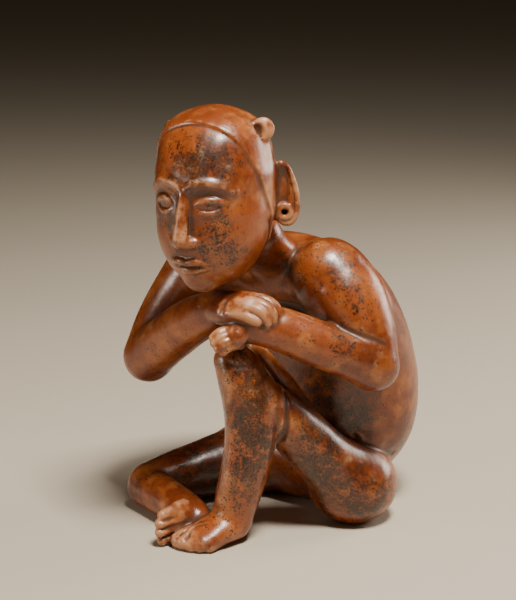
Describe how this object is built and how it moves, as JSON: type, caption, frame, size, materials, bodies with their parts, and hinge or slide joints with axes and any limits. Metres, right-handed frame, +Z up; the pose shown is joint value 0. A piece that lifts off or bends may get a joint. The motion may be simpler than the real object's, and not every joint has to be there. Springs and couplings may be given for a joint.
{
  "type": "colima seated figure",
  "caption": "Seated redware figure with one knee raised, arms crossed over the knee and chin on the hands.",
  "frame": {"origin": "centre of the bounding box, on the ground the figure rests on", "axes": "+Z up, the figure faces -Y, its left side is towards +X"},
  "size_m": [0.1976, 0.223, 0.288],
  "materials": {
    "burnished_redware": null
  },
  "bodies": {
    "root": {"seated_figure": "burnished_redware"}
  },
  "joints": []
}
